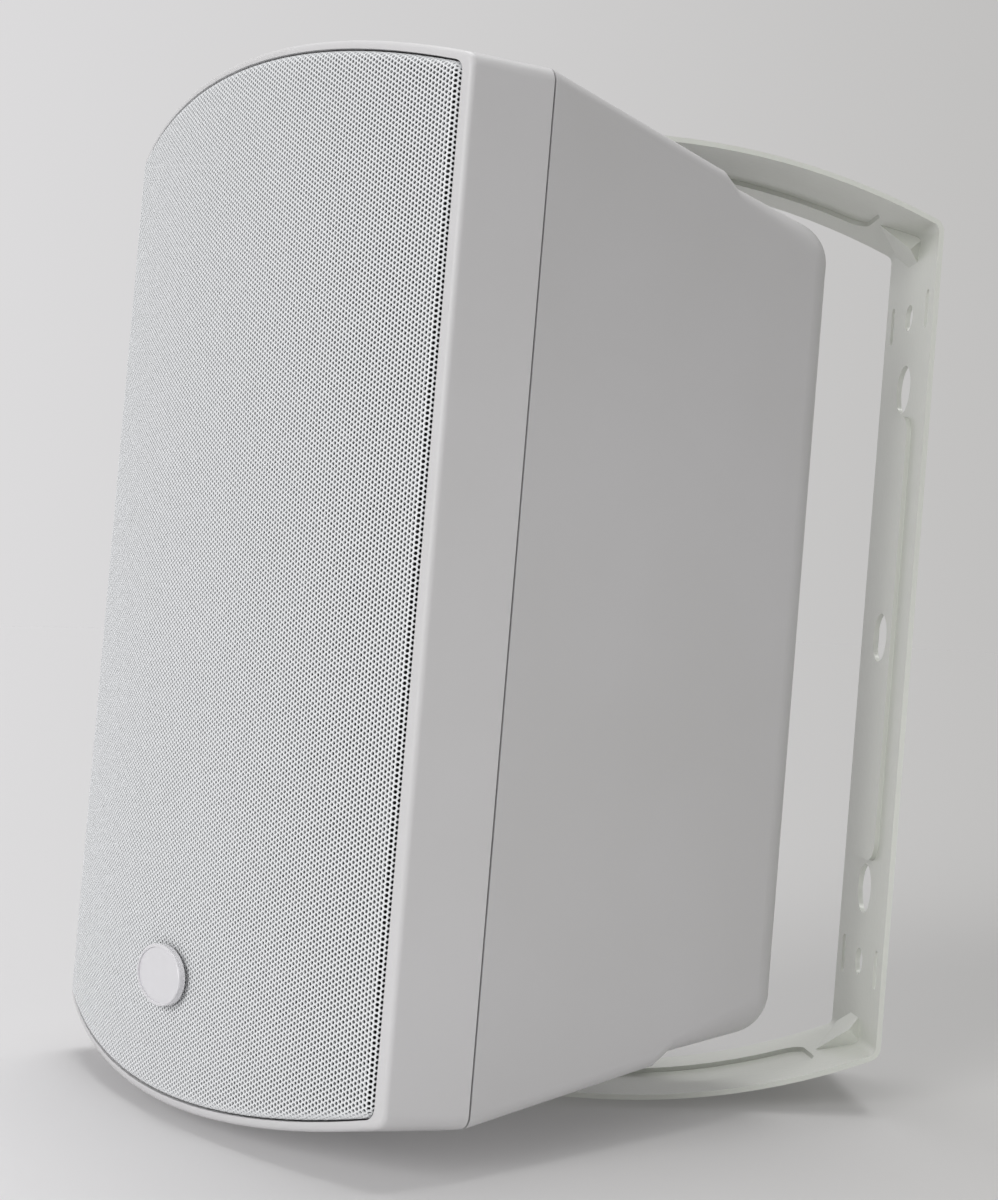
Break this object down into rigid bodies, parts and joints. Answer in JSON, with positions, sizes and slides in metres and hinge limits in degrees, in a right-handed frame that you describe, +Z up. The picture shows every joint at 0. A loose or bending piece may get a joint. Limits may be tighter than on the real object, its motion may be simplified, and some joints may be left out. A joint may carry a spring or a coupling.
{
  "type": "outdoor patio speaker",
  "caption": "Two-way outdoor wall speaker: tapered white cabinet with a bowed perforated grille, swivelling on a pressed U-bracket for wall mounting.",
  "frame": {"origin": "middle of the bracket's wall face, halfway between its two wall screw holes", "axes": "+Z up; +Y into the wall, square to the bracket's plate; +X along the wall. The cabinet stands in front at -Y, turned 30.7 degrees on its pivot as in the picture"},
  "size_m": [0.2598, 0.2924, 0.3574],
  "materials": {
    "bracket_paint": "gloss powder coat",
    "cabinet_plastic": "satin",
    "grille_paint": "satin powder coat",
    "scrim_cloth": "open weave",
    "badge_plastic": "gloss",
    "seal_foam": "matt",
    "bare_steel": "zinc plated",
    "insert_brass": "turned",
    "washer_rubber": "matt",
    "basket_steel": "satin black",
    "surround_rubber": "matt",
    "spider_cloth": "resin-treated weave",
    "cone_paper": "satin",
    "coil_former": "plain",
    "motor_steel": "zinc plated",
    "ferrite": "matt",
    "horn_plastic": "satin",
    "dome_metal": "bright",
    "board_laminate": "lacquered",
    "coil_wire": "enamelled",
    "capacitor_film": "gloss",
    "resistor_cement": "matt",
    "terminal_plastic": "satin",
    "post_metal": "plated",
    "cap_red": "gloss",
    "cap_black": "gloss"
  },
  "bodies": {
    "bracket": {"u_bracket": "bracket_paint"},
    "cabinet": {"rear_housing": "cabinet_plastic", "front_moulding": "cabinet_plastic", "seam_gasket": "seal_foam", "housing_screws": "bare_steel", "grille": "grille_paint", "grille_scrim": "scrim_cloth", "badge_disc": "badge_plastic", "pivot_inserts": "insert_brass", "friction_washers": "washer_rubber", "pivot_washers": "bare_steel", "pivot_bolts": "bare_steel", "woofer_basket": "basket_steel", "woofer_seal": "seal_foam", "woofer_surround": "surround_rubber", "woofer_spider": "spider_cloth", "woofer_gap_plate": "motor_steel", "woofer_magnet": "ferrite", "woofer_yoke": "motor_steel", "woofer_screws": "bare_steel", "tweeter_horn": "horn_plastic", "tweeter_front_ring": "motor_steel", "tweeter_gap_plate": "motor_steel", "tweeter_magnet": "ferrite", "tweeter_yoke": "motor_steel", "tweeter_screws": "bare_steel", "crossover_board": "board_laminate", "crossover_coils": "coil_wire", "crossover_capacitors": "capacitor_film", "crossover_resistor": "resistor_cement", "crossover_screws": "bare_steel", "terminal_plate": "terminal_plastic", "terminal_screws": "bare_steel", "binding_posts": "post_metal"},
    "woofer_diaphragm": {"woofer_cone": "cone_paper", "woofer_dust_cap": "cone_paper", "woofer_voice_coil": "coil_former"},
    "tweeter_diaphragm": {"tweeter_dome": "dome_metal"},
    "red_cap": {"post_cap_red": "cap_red"},
    "black_cap": {"post_cap_black": "cap_black"}
  },
  "joints": [
    {"name": "cabinet_swivel", "type": "hinge", "parent": "bracket", "child": "cabinet", "pos_m": [0, -0.158, 0], "axis": [0, 0, 1], "range_deg": [-90, 29]},
    {"name": "woofer_stroke", "type": "slide", "parent": "cabinet", "child": "woofer_diaphragm", "axis": [0.5105, -0.8599, 0], "range_m": [-0.0035, 0.0035], "stiffness_N_per_m": 1200},
    {"name": "tweeter_stroke", "type": "slide", "parent": "cabinet", "child": "tweeter_diaphragm", "axis": [0.5105, -0.8599, 0], "range_m": [-0.00025, 0.00025], "stiffness_N_per_m": 4000},
    {"name": "red_cap_turn", "type": "hinge", "parent": "cabinet", "child": "red_cap", "pos_m": [-0.04184, -0.06887, -0.042], "axis": [-0.5105, 0.8599, 0], "continuous": true},
    {"name": "black_cap_turn", "type": "hinge", "parent": "cabinet", "child": "black_cap", "pos_m": [-0.05822, -0.0786, -0.042], "axis": [-0.5105, 0.8599, 0], "continuous": true}
  ]
}
